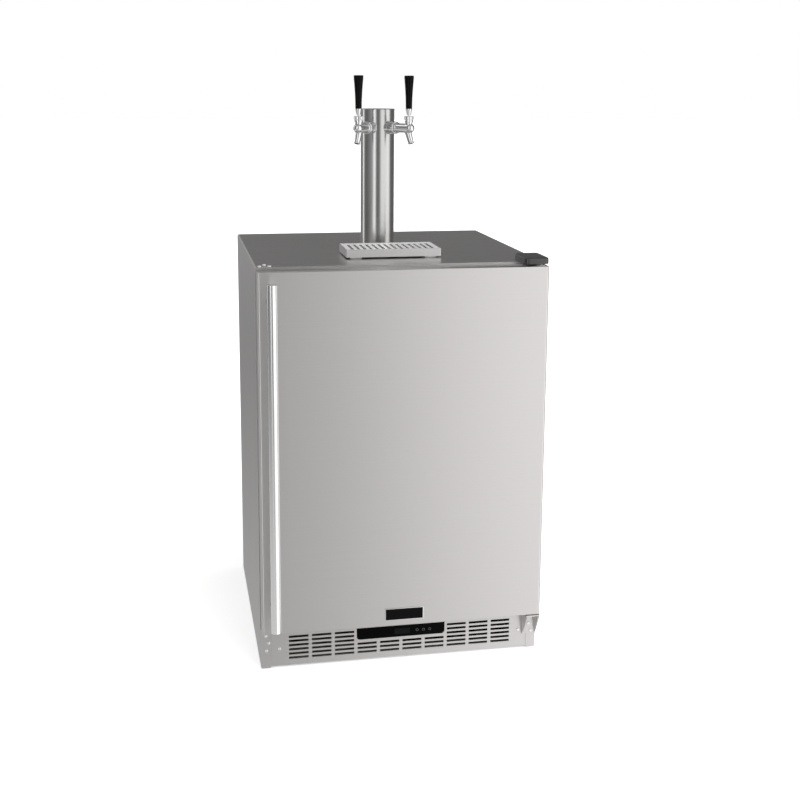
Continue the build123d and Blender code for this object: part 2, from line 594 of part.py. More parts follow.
def faucet_bonnet(side):
    """Knurled ring that holds the lever's ball down in the neck."""
    z0, z1 = TAP_AXIS_Z + 13.2, TAP_AXIS_Z + 26.4
    ring = rod((LEVER_OUT, 0, z0 + 5), (LEVER_OUT, 0, z1), 10.2)
    ring = fillet(ring.edges().filter_by(GeomType.CIRCLE), 1.2)
    skirt = rod((LEVER_OUT, 0, z0), (LEVER_OUT, 0, z1 - 2), 9.4)
    bonnet = join([ring, skirt])
    bonnet -= rod((LEVER_OUT, 0, z0 - 1), (LEVER_OUT, 0, TAP_AXIS_Z + BALL_UP + 0.1), 8 + LIVE_FIT)
    bonnet -= ball((LEVER_OUT, 0, TAP_AXIS_Z + BALL_UP), BALL_R + 0.12)
    bonnet -= rod((LEVER_OUT, 0, z0), (LEVER_OUT, 0, z1 + 1), 5.4)
    for i in range(8):
        turned = Pos(LEVER_OUT, 0, 0) * Rot(0, 0, 45 * i) * rod((11.2, 0, z0 + 3), (11.2, 0, z1 + 1), 2.2)
        bonnet -= turned
    return tap_place(side, bonnet)


TAP_GRIP_Z = 1179.5
TAP_GRIP_TOP = 1251.5


def faucet_lever(side):
    """Ball lever: its lower tip drives the shaft and its upper stud carries the ferrule."""
    z = TAP_AXIS_Z + BALL_UP
    stem = rod((LEVER_OUT, 0, TAP_AXIS_Z - TIP_DOWN), (LEVER_OUT, 0, z), 1.8)
    upper = rod((LEVER_OUT, 0, z), (LEVER_OUT, 0, z + 14), 2.4)
    lever = join([stem, ball((LEVER_OUT, 0, z), BALL_R), upper])
    ferrule = taper((LEVER_OUT, 0, z + 9.4), (LEVER_OUT, 0, TAP_GRIP_Z - 2.2), 4.2, 6.6)
    band = rod((LEVER_OUT, 0, TAP_GRIP_Z - 2.2), (LEVER_OUT, 0, TAP_GRIP_Z), 7.1)
    return tap_place(side, join([lever, ferrule, band]))


def tap_handle(side):
    """Tapered black grip, wider at its top."""
    grip = taper((LEVER_OUT, 0, TAP_GRIP_Z), (LEVER_OUT, 0, TAP_GRIP_TOP), 7.1, 10.8)
    grip = fillet(grip.edges().filter_by(GeomType.CIRCLE).sort_by(Axis.Z)[-1], 2.0)
    return tap_place(side, grip)


def faucet_shaft(side):
    """Plunger that the lever pushes back: a seat washer, a rod and a slotted guide."""
    z = TAP_AXIS_Z
    seal = rod((67.5, 0, z), (70.5, 0, z), 7.2)
    spindle = rod((66.5, 0, z), (94, 0, z), 2.8)
    guide = rod((93, 0, z), (105.5, 0, z), 7.2)
    shaft = join([seal, spindle, guide])
    shaft -= block(LEVER_OUT - 2.5, LEVER_OUT + 3.0, -2.5, 2.5, z - 3.2, z + 9)
    shaft -= block(LEVER_OUT - 2.5, LEVER_OUT + 5.8, -2.5, 2.5, z + 2, z + 9)
    return tap_place(side, shaft)


# ---------------------------------------------------------------- drip tray
TRAY_HALF = 103.0
TRAY_Y0, TRAY_Y1 = FACE + 138.0, FACE + 245.0
TRAY_TOP = HEIGHT + 20.0
TRAY_PAD = 3.0


def drip_tray():
    """Folded stainless pan on four pads."""
    z0 = HEIGHT + TRAY_PAD
    pan = block(-TRAY_HALF, TRAY_HALF, TRAY_Y0, TRAY_Y1, z0, TRAY_TOP)
    pan = fillet(pan.edges().filter_by(Axis.Z), 2.0)
    hollow = block(-TRAY_HALF + 1.2, TRAY_HALF - 1.2, TRAY_Y0 + 1.2, TRAY_Y1 - 1.2, z0 + 1.2, TRAY_TOP + 1)
    ledges = [block(x - 3, x + 3, y0, y1, z0 + 1, TRAY_TOP - 3)
              for x in (-TRAY_HALF + 3.5, TRAY_HALF - 3.5) for y0, y1 in ((TRAY_Y0 + 4, TRAY_Y1 - 4),)]
    pads = [block(x - 12, x + 12, y - 8, y + 8, HEIGHT, z0)
            for x in (-TRAY_HALF + 22, TRAY_HALF - 22) for y in (TRAY_Y0 + 16, TRAY_Y1 - 16)]
    return join([pan - hollow, *ledges, *pads])


GRID_SLOTS = 14
GRID_PITCH = 13.4
GRID_SLOT_WIDE = 6.6


def drip_grid():
    """Slotted plate that lies in the pan, with its front and back edges folded down."""
    x, y0, y1 = TRAY_HALF - 1.6, TRAY_Y0 + 1.6, TRAY_Y1 - 1.6
    z1 = TRAY_TOP - 1.0
    plate = block(-x, x, y0, y1, z1 - 1.8, z1)
    folds = [block(-x + 8, x - 8, y, y + 1.5, z1 - 9, z1 - 1) for y in (y0, y1 - 1.5)]
    grid = join([plate, *folds])
    first = -(GRID_SLOTS - 1) / 2 * GRID_PITCH
    for i in range(GRID_SLOTS):
        centre = first + i * GRID_PITCH
        slot = block(centre - GRID_SLOT_WIDE / 2, centre + GRID_SLOT_WIDE / 2, y0 + 9, y1 - 9, z1 - 4, z1 + 1)
        grid -= fillet(slot.edges().filter_by(Axis.Z), GRID_SLOT_WIDE / 2 - 0.1)
    return grid


# ---------------------------------------------------------------- gas and beer inside
CYLINDER_PLACE = (-165.0, FACE + 462.0)
CYLINDER_R = 55.5
COUPLER_PLACES = {LEFT: (25.0, FACE + 440.0), RIGHT: (165.0, FACE + 440.0)}
COUPLER_TOP = HUMP_TOP + 92.0


def gas_cylinder():
    """Small gas bottle standing on the step, with its valve and handwheel."""
    x, y = CYLINDER_PLACE
    z = HUMP_TOP
    bottle = rod((x, y, z), (x, y, z + 290), CYLINDER_R)
    bottle = fillet(bottle.edges().filter_by(GeomType.CIRCLE).sort_by(Axis.Z)[-1], 44)
    bottle = fillet(bottle.edges().filter_by(GeomType.CIRCLE).sort_by(Axis.Z)[0], 8)
    neck = rod((x, y, z + 280), (x, y, z + 306), 14)
    valve = rod((x, y, z + 304), (x, y, z + 346), 10)
    outlet = rod((x, y, z + 326), (x + 34, y, z + 326), 8)
    spindle = rod((x, y, z + 340), (x, y, z + 354), 3)
    return join([bottle, neck, valve, outlet, spindle])


def gas_valve_wheel():
    """Scalloped handwheel on the bottle's valve spindle."""
    x, y = CYLINDER_PLACE
    z = HUMP_TOP
    wheel = rod((x, y, z + 346.3), (x, y, z + 359), 20)
    wheel = chamfer(wheel.edges().filter_by(GeomType.CIRCLE), 1.6)
    for i in range(6):
        a = math.radians(60 * i + 10)
        px, py = x + 25 * math.cos(a), y + 25 * math.sin(a)
        wheel -= rod((px, py, z + 340), (px, py, z + 365), 7.6)
    return wheel - rod((x, y, z + 340), (x, y, z + 354.3), 3 + LIVE_FIT)


REGULATOR_X = CYLINDER_PLACE[0] + 66.0
REGULATOR_Z = HUMP_TOP + 326.0


def gas_regulator():
    """Regulator on the bottle's outlet, with two gauges and an adjusting screw."""
    x, y, z = REGULATOR_X, CYLINDER_PLACE[1], REGULATOR_Z
    nut = extrude(Plane(origin=(x - 31.8, y, z), z_dir=(1, 0, 0)) * RegularPolygon(13, 6), 14)
    stem = rod((x - 20, y, z), (x, y, z), 6)
    body = rod((x, y - 24, z), (x, y + 14, z), 22)
    gauges = []
    for dx, dz in ((0, 44), (40, 10)):
        gauges.append(rod((x + dx, y - 18, z + dz), (x + dx, y - 2, z + dz), 19))
        gauges.append(rod((x, y - 8, z), (x + dx, y - 8, z + dz), 4))
    tail = rod((x, y - 4, z - 36), (x, y - 4, z), 4.6)
    spigot = rod((x, y - 34, z), (x, y - 20, z), 4)
    return join([nut, stem, body, spigot, *gauges, tail])


def regulator_knob():
    """Fluted knob that sets the outlet pressure."""
    x, y, z = REGULATOR_X, CYLINDER_PLACE[1], REGULATOR_Z
    knob = rod((x, y - 48, z), (x, y - 24.3, z), 15)
    knob = fillet(knob.edges().filter_by(GeomType.CIRCLE), 2)
    for i in range(12):
        a = math.radians(30 * i)
        px, pz = x + 16 * math.cos(a), z + 16 * math.sin(a)
        knob -= rod((px, y - 50, pz), (px, y - 24, pz), 2)
    return knob - rod((x, y - 34.3, z), (x, y - 20, z), 4 + LIVE_FIT)


def tube(points, radii, radius):
    """A flexible line: straight runs joined by arcs, swept with a round section."""
    route = FilletPolyline(*points, radius=radii)
    start = route @ 0
    profile = Plane(origin=start, z_dir=route % 0) * Circle(radius)
    return sweep(profile, path=route)


PIVOT_OUT = 25.0         # coupler lever's pin, in front of the coupler's axis
PIVOT_UP = 52.0
PROBE_LOW = 2.0          # probe's lowest place, above the coupler's foot
PROBE_TRAVEL = 11.0
PROBE_LONG = 25.0


def keg_coupler(side):
    """Keg coupler parked on the step: lugged foot, bored body, gas inlet, beer outlet and two ears."""
    x, y = COUPLER_PLACES[side]
    z = HUMP_TOP
    foot = rod((x, y, z), (x, y, z + 12), 27)
    foot = chamfer(foot.edges().filter_by(GeomType.CIRCLE), 2)
    for i in range(2):
        foot -= Pos(x, y, 0) * Rot(0, 0, 180 * i) * block(20, 30, -7, 7, z - 1, z + 13)
    body = rod((x, y, z + 10), (x, y, z + 60), 18)
    head = rod((x, y, z + 60), (x, y, z + 76), 13)
    outlet = rod((x, y, z + 76), (x, y, COUPLER_TOP), 5.2)
    inlet = rod((x, y, z + 46), (x - 38, y, z + 46), 5)
    inlet_nut = extrude(Plane(origin=(x - 28, y, z + 46), z_dir=(1, 0, 0)) * RegularPolygon(9, 6), 8)
    ears = []
    for inner in (-9, 6):
        ear = block(x + inner, x + inner + 3, y - PIVOT_OUT - 5, y - 12, z + 44, z + 58)
        ears.append(ear)
    coupler = join([foot, body, head, outlet, inlet, inlet_nut, *ears])
    coupler -= rod((x - 12, y - PIVOT_OUT, z + PIVOT_UP), (x + 12, y - PIVOT_OUT, z + PIVOT_UP), 2 + LIVE_FIT)
    return coupler - rod((x, y, z - 1), (x, y, z + 40), 9.3)


def coupler_probe(side):
    """Probe inside the coupler's bore that is pushed down to open the keg's valve."""
    x, y = COUPLER_PLACES[side]
    z = HUMP_TOP
    low = z + PROBE_LOW + PROBE_TRAVEL
    probe = rod((x, y, low), (x, y, low + PROBE_LONG), 9)
    tip = rod((x, y, low), (x, y, low + 7), 7)
    probe = fillet(probe.edges().filter_by(GeomType.CIRCLE), 1.5)
    return join([probe, tip]) - rod((x, y, low - 3), (x, y, low + PROBE_LONG + 2), 4)


def coupler_lever(side):
    """Lever and grip on a level pin between the coupler's ears; pressing it down lowers the probe."""
    x, y = COUPLER_PLACES[side]
    z = HUMP_TOP + PIVOT_UP
    y -= PIVOT_OUT
    hub = rod((x - 5.7, y, z), (x + 5.7, y, z), 4.2)
    pin = rod((x - 11, y, z), (x + 11, y, z), 2)
    start, bend, tip = (x, y, z), (x, y - 14, z + 14), (x, y - 32, z + 52)
    arm = join([rod(start, bend, 3.2), ball(bend, 3.2), rod(bend, tip, 3.2)])
    grip = rod((x, y - 24, z + 35.1), tip, 7)
    grip = fillet(grip.edges().filter_by(GeomType.CIRCLE), 2.5)
    return join([hub, pin, arm, grip])


def beer_line(side):
    """Line from a coupler, up the back wall in its clips and through the tower to the shank."""
    cx, cy = COUPLER_PLACES[side]
    wall_y = FACE + CAVITY_BACK - LINE_OFF_WALL
    wall_x = side * LINE_X
    elbow = tap_place(side, Pos(24, 0, TAP_AXIS_Z - 26.2) * Box(1, 1, 1)).center()
    hole_x = side * 10.0
    hole_y = TOWER_Y
    points = [
        (cx, cy, COUPLER_TOP + 0.2),
        (cx, cy, COUPLER_TOP + 60),
        (wall_x, wall_y, COUPLER_TOP + 125),
        (wall_x, wall_y, CAVITY_TOP - 34),
        (hole_x, hole_y, CAVITY_TOP - 34),
        (hole_x, hole_y, TAP_AXIS_Z - 78),
        (elbow.X, elbow.Y, TAP_AXIS_Z - 62),
        (elbow.X, elbow.Y, TAP_AXIS_Z - 26.2),
    ]
    return tube(points, [32, 30, 40, 40, 12, 12], LINE_R)


def gas_line():
    """Gas hose from the regulator along the step to a tee, and on to both couplers."""
    x, y, z = REGULATOR_X, CYLINDER_PLACE[1] - 4, REGULATOR_Z - 36.2
    lx, ly = COUPLER_PLACES[LEFT]
    rx = COUPLER_PLACES[RIGHT][0]
    low = HUMP_TOP + 46
    radius = 4.0
    supply = tube([(x, y, z), (x, y, low + 8), (x + 44, ly, low), (lx - 38.2, ly, low)], [34, 30], radius)
    tee = block(x + 47, x + 59, ly - 7, ly + 21, low - 7, low + 7)
    back = ly + 40
    branch = tube([(x + 53, ly + 20, low), (x + 53, back, low), (rx - 60, back, low), (rx - 60, ly, low),
                   (rx - 38.2, ly, low)], [16, 16, 16], radius)
    return join([supply, tee, branch])


# ---------------------------------------------------------------- door
DOOR_HALF = SIDE - 1.0
BUSH_R = 7.0
GASKET_OUT = 290.0
GASKET_WIDE = 24.0


def hinge_pockets():
    """The two sockets that the hinge bushes are pressed into."""
    return [rod((HINGE_X, HINGE_Y, DOOR_BOTTOM - 1), (HINGE_X, HINGE_Y, DOOR_BOTTOM + 22), BUSH_R),
            rod((HINGE_X, HINGE_Y, DOOR_TOP - 22), (HINGE_X, HINGE_Y, DOOR_TOP + 1), BUSH_R)]


HANDLE_X = -278.0
HANDLE_R = 10.2
HANDLE_Z0, HANDLE_Z1 = 118.0, 846.0
POST_HEIGHTS = (HANDLE_Z0 + 42, HANDLE_Z1 - 42)


def door_skin():
    """Stainless outer pan of the door, folded round all four edges."""
    y1 = FACE + DOOR_THICK - 4
    pan = block(-DOOR_HALF, DOOR_HALF, FACE, y1, DOOR_BOTTOM, DOOR_TOP)
    pan = fillet(pan.edges().filter_by(Axis.Z).group_by(Axis.Y)[0], 5)
    pan = fillet(pan.faces().sort_by(Axis.Y)[0].edges(), 1.2)
    hollow = block(-DOOR_HALF + SHEET, DOOR_HALF - SHEET, FACE + SHEET, y1 + 1, DOOR_BOTTOM + SHEET,
                   DOOR_TOP - SHEET)
    hollow = fillet(hollow.edges().filter_by(Axis.Z).group_by(Axis.Y)[0], 4)
    skin = (pan - hollow) - hinge_pockets()
    for z in POST_HEIGHTS:
        skin -= rod((HANDLE_X, FACE - 1, z), (HANDLE_X, FACE + 3, z), 3.2)
    return skin


def door_foam():
    """Foam core of the door."""
    gap = 0.2
    core = block(-DOOR_HALF + SHEET + gap, DOOR_HALF - SHEET - gap, FACE + SHEET + gap,
                 FACE + DOOR_THICK - 4 - gap, DOOR_BOTTOM + SHEET + gap, DOOR_TOP - SHEET - gap)
    core = fillet(core.edges().filter_by(Axis.Z).group_by(Axis.Y)[0], 4.2)
    pockets = [rod((HINGE_X, HINGE_Y, DOOR_BOTTOM - 1), (HINGE_X, HINGE_Y, DOOR_BOTTOM + 23), BUSH_R + 0.2),
               rod((HINGE_X, HINGE_Y, DOOR_TOP - 23), (HINGE_X, HINGE_Y, DOOR_TOP + 1), BUSH_R + 0.2)]
    bolts = [rod((HANDLE_X, FACE - 1, z), (HANDLE_X, FACE + 22, z), 7) for z in POST_HEIGHTS]
    return core - pockets - bolts


def door_liner():
    """Moulded inner panel of the door, with a raised plug that fits into the cavity."""
    y0, y1 = FACE + DOOR_THICK - 4, FACE + DOOR_THICK
    sheet = block(-DOOR_HALF + 0.5, DOOR_HALF - 0.5, y0, y1 - 1, DOOR_BOTTOM + 0.5, DOOR_TOP - 0.5)
    plug = block(-INSIDE + 12, INSIDE - 12, y1 - 1.5, FACE + CABINET_FRONT + 9,
                 CAVITY_FLOOR + 12, CAVITY_TOP - 12)
    plug = fillet(plug.edges().filter_by(Axis.Y), 20)
    plug = fillet(plug.faces().sort_by(Axis.Y)[-1].edges(), 5)
    panel = join([sheet, plug])
    inset = block(-INSIDE + 44, INSIDE - 44, FACE + CABINET_FRONT + 2, FACE + CABINET_FRONT + 12,
                  CAVITY_FLOOR + 44, CAVITY_TOP - 44)
    return panel - fillet(inset.edges().filter_by(Axis.Y), 12)


def door_gasket():
    """Hollow magnetic seal round the door's inner face."""
    x, z0, z1 = GASKET_OUT, DOOR_BOTTOM + 12, DOOR_TOP - 12
    y0, y1 = FACE + DOOR_THICK - 1, FRONT - 0.3
    outer = block(-x, x, y0, y1, z0, z1)
    outer = fillet(outer.edges().filter_by(Axis.Y), 10)
    outer = fillet(outer.faces().sort_by(Axis.Y)[-1].edges(), 1.5)
    inner = block(-x + GASKET_WIDE, x - GASKET_WIDE, y0 - 1, y1 + 1, z0 + GASKET_WIDE, z1 - GASKET_WIDE)
    return outer - inner


def handle_bar():
    """Long straight tube with flat, softened ends."""
    y = FACE - HANDLE_REACH + HANDLE_R
    bar = rod((HANDLE_X, y, HANDLE_Z0), (HANDLE_X, y, HANDLE_Z1), HANDLE_R)
    return fillet(bar.edges().filter_by(GeomType.CIRCLE), 1.4)


def handle_posts():
    """Two turned standoffs with the studs that bolt them through the door's skin."""
    y = FACE - HANDLE_REACH + HANDLE_R
    posts = []
    for z in POST_HEIGHTS:
        post = rod((HANDLE_X, y, z), (HANDLE_X, FACE, z), 6.5)
        post -= rod((HANDLE_X, y, z - 30), (HANDLE_X, y, z + 30), HANDLE_R)
        base = taper((HANDLE_X, FACE - 4, z), (HANDLE_X, FACE, z), 6.5, 9)
        stud = rod((HANDLE_X, FACE - 2, z), (HANDLE_X, FACE + 18, z), 3)
        nut = extrude(Plane(origin=(HANDLE_X, FACE + SHEET, z), z_dir=(0, 1, 0)) * RegularPolygon(6, 6), 5)
        posts.append(join([post, base, stud, nut]))
    return apart(posts)


def door_badge():
    """Blank name plate fixed to the door."""
    plate = block(-42, 42, FACE - 1.6, FACE, 105, 132.5)
    return fillet(plate.faces().sort_by(Axis.Y)[0].edges(), 0.6)


def hinge_bushes():
    """Two flanged nylon bushes that the hinge pins turn in."""
    bushes = []
    for z0, z1, mouth in ((DOOR_BOTTOM, DOOR_BOTTOM + 21, -1), (DOOR_TOP - 21, DOOR_TOP, 1)):
        bush = rod((HINGE_X, HINGE_Y, z0), (HINGE_X, HINGE_Y, z1), BUSH_R - 0.02)
        lip_z = z0 - 1.2 if mouth < 0 else z1
        lip = rod((HINGE_X, HINGE_Y, lip_z), (HINGE_X, HINGE_Y, lip_z + 1.2), BUSH_R + 2.5)
        bore_from, bore_to = (z0 - 2, z1 - 1.5) if mouth < 0 else (z0 + 1.5, z1 + 2)
        bore = rod((HINGE_X, HINGE_Y, bore_from), (HINGE_X, HINGE_Y, bore_to), PIN_R + LIVE_FIT)
        bushes.append(join([bush, lip]) - bore)
    return apart(bushes)


# ---------------------------------------------------------------- write every node
SINGLE_PIECES = [
    cabinet_wrap, back_panel, cabinet_foam, inner_liner, cord_gland, base_pan, corner_posts, front_grille,
    control_panel, compressor, condenser_coil, fan_shroud, condenser_fan, cold_plate, lower_hinge_bracket,
    upper_hinge_plate, hinge_cover, hinge_hole_plugs, cabinet_screws, tower_column, tower_cap, tower_sleeve,
    tower_bolts, drip_tray, drip_grid, gas_cylinder, gas_valve_wheel, gas_regulator, regulator_knob, gas_line,
    door_skin, door_foam, door_liner, door_gasket, handle_bar, handle_posts, door_badge, hinge_bushes,
]
BOTH_SIDES_IN_ONE_NODE = {
    "tap_shanks": shank,
    "shank_rings": shank_rings,
    "coupling_nuts": coupling_nut,
    "bonnet_rings": faucet_bonnet,
    "beer_lines": beer_line,
    "keg_couplers": keg_coupler,
}
ONE_NODE_A_SIDE = [faucet_body, faucet_lever, tap_handle, faucet_shaft, coupler_probe, coupler_lever]
SIDE_NAMES = {LEFT: "left", RIGHT: "right"}

for piece in SINGLE_PIECES:
    save(piece.__name__, piece())
for name, piece in BOTH_SIDES_IN_ONE_NODE.items():
    save(name, apart([piece(LEFT), piece(RIGHT)]))
for piece in ONE_NODE_A_SIDE:
    for side, word in SIDE_NAMES.items():
        save(f"{piece.__name__}_{word}", piece(side))
for word, place in FOOT_PLACES.items():
    save(f"foot_{word}", levelling_foot(place))
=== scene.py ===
import math

import bpy
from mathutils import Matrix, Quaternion, Vector


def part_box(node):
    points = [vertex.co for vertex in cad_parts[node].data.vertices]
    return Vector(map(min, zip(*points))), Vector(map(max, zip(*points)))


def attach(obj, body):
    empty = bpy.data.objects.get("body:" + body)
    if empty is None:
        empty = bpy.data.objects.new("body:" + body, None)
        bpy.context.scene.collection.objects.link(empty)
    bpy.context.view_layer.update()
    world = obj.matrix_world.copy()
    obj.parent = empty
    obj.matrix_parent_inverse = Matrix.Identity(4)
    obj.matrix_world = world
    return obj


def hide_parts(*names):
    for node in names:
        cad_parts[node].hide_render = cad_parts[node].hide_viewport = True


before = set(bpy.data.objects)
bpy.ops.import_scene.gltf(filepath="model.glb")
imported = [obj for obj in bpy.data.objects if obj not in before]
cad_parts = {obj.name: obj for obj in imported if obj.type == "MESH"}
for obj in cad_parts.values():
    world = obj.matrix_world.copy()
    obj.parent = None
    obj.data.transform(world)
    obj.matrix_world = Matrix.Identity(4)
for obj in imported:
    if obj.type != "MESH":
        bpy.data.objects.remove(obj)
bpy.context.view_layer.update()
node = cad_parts
mm = 0.001


# ---------------------------------------------------------------- base pan and feet
# The base is a folded galvanised tray with a weld nut at each corner. Four zinc plated feet screw into the
# nuts, and their hexagons take a spanner to level the cabinet.
class Field:
    """A shader socket that arithmetic can be written on."""

    def __init__(self, shop, socket):
        self.shop = shop
        self.socket = socket

    def _maths(self, operation, *terms):
        return self.shop.add("ShaderNodeMath", {"operation": operation}, dict(enumerate(terms)))

    def __add__(self, other):
        return self._maths("ADD", self, other)

    def __sub__(self, other):
        return self._maths("SUBTRACT", self, other)

    def __rsub__(self, other):
        return self._maths("SUBTRACT", other, self)

    def __mul__(self, other):
        return self._maths("MULTIPLY", self, other)

    def __truediv__(self, other):
        return self._maths("DIVIDE", self, other)

    def __mod__(self, other):
        return self._maths("FLOORED_MODULO", self, other)

    def __gt__(self, other):
        return self._maths("GREATER_THAN", self, other)

    def __lt__(self, other):
        return self._maths("LESS_THAN", self, other)

    def __abs__(self):
        return self._maths("ABSOLUTE", self)

    __radd__ = __add__
    __rmul__ = __mul__

    def ramped(self, start, end):
        """0 below start, 1 above end and a soft rise between them."""
        return self.shop.add("ShaderNodeMapRange", {"interpolation_type": "SMOOTHSTEP"},
                             {"Value": self, "From Min": start, "From Max": end})

    def parts(self):
        """The three components of a vector."""
        split = self.shop.add("ShaderNodeSeparateXYZ", {}, {"Vector": self}).socket.node
        return [Field(self.shop, split.outputs[i]) for i in range(3)]

    def length(self):
        """The length of a vector."""
        return self.shop.add("ShaderNodeVectorMath", {"operation": "LENGTH"}, {0: self}, "Value")


class Shop:
    """A node tree that nodes are added to one call at a time."""

    def __init__(self, tree):
        self.tree = tree

    def add(self, kind, settings, sockets, output=0):
        made = self.tree.nodes.new(kind)
        for key, value in settings.items():
            if key == "stops":
                for i, (place, level) in enumerate(value):
                    stop = made.color_ramp.elements[i] if i < 2 else made.color_ramp.elements.new(place)
                    stop.position = place
                    stop.color = (level, level, level, 1)
            else:
                setattr(made, key, value)
        for key, value in sockets.items():
            if isinstance(value, Field):
                self.tree.links.new(value.socket, made.inputs[key])
            else:
                made.inputs[key].default_value = value
        return Field(self, made.outputs[output])

    def place(self, stretch=(1, 1, 1), move=(0, 0, 0)):
        """Metres on the object, stretched and then moved."""
        own = self.add("ShaderNodeTexCoord", {}, {}, "Object")
        return self.add("ShaderNodeMapping", {}, {"Vector": own, "Location": move, "Scale": stretch})

    def noise(self, scale, detail=2.0, stretch=(1, 1, 1)):
        return self.add("ShaderNodeTexNoise", {}, {"Vector": self.place(stretch), "Scale": scale,
                                                   "Detail": detail}, "Fac")

    def cells(self, scale, output="Color"):
        return self.add("ShaderNodeTexVoronoi", {}, {"Vector": self.place(), "Scale": scale}, output)


class Finish(Shop):
    """A surface finish: one Principled shader and the patterns that feed it."""

    def __init__(self, name, colour, roughness, metallic=0.0, **fixed):
        self.material = bpy.data.materials.new(name)
        self.material.use_nodes = True
        super().__init__(self.material.node_tree)
        self.shader = self.tree.nodes["Principled BSDF"]
        self.shader.inputs["Base Color"].default_value = (*colour, 1)
        self.shader.inputs["Roughness"].default_value = roughness
        self.shader.inputs["Metallic"].default_value = metallic
        for key, value in fixed.items():
            self.shader.inputs[key.replace("_", " ")].default_value = value

    def feed(self, socket, value):
        self.tree.links.new(value.socket, self.shader.inputs[socket])

    def blend(self, share, first, second):
        """A colour between two."""
        ends = [end if isinstance(end, Field) else (*end, 1) for end in (first, second)]
        return self.add("ShaderNodeMix", {"data_type": "RGBA"}, {0: share, 6: ends[0], 7: ends[1]}, 2)

    def relief(self, height, depth):
        """Bumps of a depth in metres."""
        self.feed("Normal", self.add("ShaderNodeBump", {}, {"Height": height, "Distance": depth}, "Normal"))

    def vary(self, pattern, dark, light, sleek, dull, depth=0.0):
        """Colour, gloss and relief that follow one pattern from 0 to 1."""
        self.feed("Base Color", self.blend(pattern, dark, light))
        self.feed("Roughness", pattern * (dull - sleek) + sleek)
        if depth:
            self.relief(pattern, depth)

    def on(self, *pieces):
        for piece in pieces:
            piece.data.materials.clear()
            piece.data.materials.append(self.material)


galvanised = Finish("galvanised_sheet", (0.5, 0.52, 0.54), 0.4, 0.95)
spangle = galvanised.cells(95).parts()[0] * 0.65 + galvanised.noise(40, 3) * 0.35
galvanised.vary(spangle, (0.36, 0.38, 0.4), (0.62, 0.64, 0.66), 0.32, 0.52, 0.00002)

zinc = Finish("zinc_plate", (0.6, 0.58, 0.5), 0.3, 1.0)
zinc.vary(zinc.noise(130, 4), (0.5, 0.49, 0.44), (0.7, 0.68, 0.6), 0.22, 0.42, 0.00003)
zinc.on(*(node[f"foot_{end}_{side}"] for end in ("front", "rear") for side in ("left", "right")))


# ---------------------------------------------------------------- stainless shell and back panel
# One stainless sheet is bent over the top and down both sides. A galvanised panel with pressed louvres
# closes the back, held by a row of pan head screws down each edge.
def alone(piece):
    bpy.ops.object.select_all(action="DESELECT")
    piece.select_set(True)
    bpy.context.view_layer.objects.active = piece


def modify(piece, kind, **settings):
    alone(piece)
    change = piece.modifiers.new(kind.lower(), kind)
    for key, value in settings.items():
        setattr(change, key, value)
    bpy.ops.object.modifier_apply(modifier=change.name)


def edit(piece, wanted=None):
    """Enters edit mode with the faces selected whose middle and normal are wanted, or with every face."""
    alone(piece)
    for part in (*piece.data.vertices, *piece.data.edges):
        part.select = False
    for face in piece.data.polygons:
        face.select = wanted is None or wanted(face.center, face.normal)
    bpy.ops.object.mode_set(mode="EDIT")
    bpy.ops.mesh.select_mode(type="FACE")


def leave():
    bpy.ops.object.mode_set(mode="OBJECT")


def settle(piece, angle=35):
    """Puts the object's place into its mesh and smooths its shallow edges."""
    alone(piece)
    bpy.ops.object.transform_apply(location=True, rotation=True, scale=True)
    bpy.ops.object.shade_smooth_by_angle(angle=math.radians(angle))
    return piece


def assign(piece, body, finish, name=None):
    """Says what a finished piece rides on and its finish."""
    if name:
        piece.name = piece.data.name = name
    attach(piece, body)
    finish.on(piece)
    return piece


def copied(piece, offset):
    """A copy of a piece with its own mesh, moved by an offset."""
    copy = piece.copy()
    copy.data = piece.data.copy()
    copy.location = offset
    bpy.context.scene.collection.objects.link(copy)
    return copy


def traced(source, name, body, finish, whole_flats=True):
    """A merged copy of a CAD piece that takes its place, so that its edges can be worked on. A flat with
    many slots, or shaped as a frame, keeps its triangles."""
    piece = node[source].copy()
    piece.data = node[source].data.copy()
    for key in list(piece.keys()):
        del piece[key]
    piece.parent = None
    bpy.context.scene.collection.objects.link(piece)
    alone(piece)
    bpy.ops.mesh.customdata_custom_splitnormals_clear()
    edit(piece)
    bpy.ops.mesh.remove_doubles(threshold=0.00001)
    if whole_flats:
        bpy.ops.mesh.dissolve_limited(angle_limit=math.radians(1))
    leave()
    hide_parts(source)
    return assign(piece, body, finish, name)


def ease(piece, width, segments=2):
    """Rounds the sharp edges by a width in millimetres, and keeps the flat faces flat."""
    modify(piece, "BEVEL", width=width * mm, segments=segments, limit_method="ANGLE",
           angle_limit=math.radians(40), miter_outer="MITER_ARC", use_clamp_overlap=True)
    settle(piece)
    modify(piece, "WEIGHTED_NORMAL", keep_sharp=True, weight=100)
    return piece


def stainless(name, grain_along, colour, sleek, dull, spread):
    """Grained stainless. The stretch in grain_along is large across the scratches, and spread draws out the
    gloss along them."""
    steel = Finish(name, colour, sleek, 1.0, Anisotropic=spread, Anisotropic_Rotation=0.25)
    scratches = steel.noise(5, 3, grain_along)
    clouds = steel.noise(2.6, 2)
    darker = [level * 0.93 for level in colour]
    lighter = [level * 1.07 for level in colour]
    steel.vary(scratches * 0.6 + clouds * 0.4, darker, lighter, sleek, dull)
    steel.relief(scratches, 0.00002)
    return steel


LEVEL_GRAIN = (1, 1, 280)
CROSS_GRAIN = (1, 280, 1)
UPRIGHT_GRAIN = (280, 280, 1)
STEEL = (0.696, 0.677, 0.667)
sheet_steel = stainless("stainless_sheet", LEVEL_GRAIN, STEEL, 0.36, 0.46, 0.9)
top_steel = stainless("stainless_top", CROSS_GRAIN, STEEL, 0.24, 0.32, 0.0)

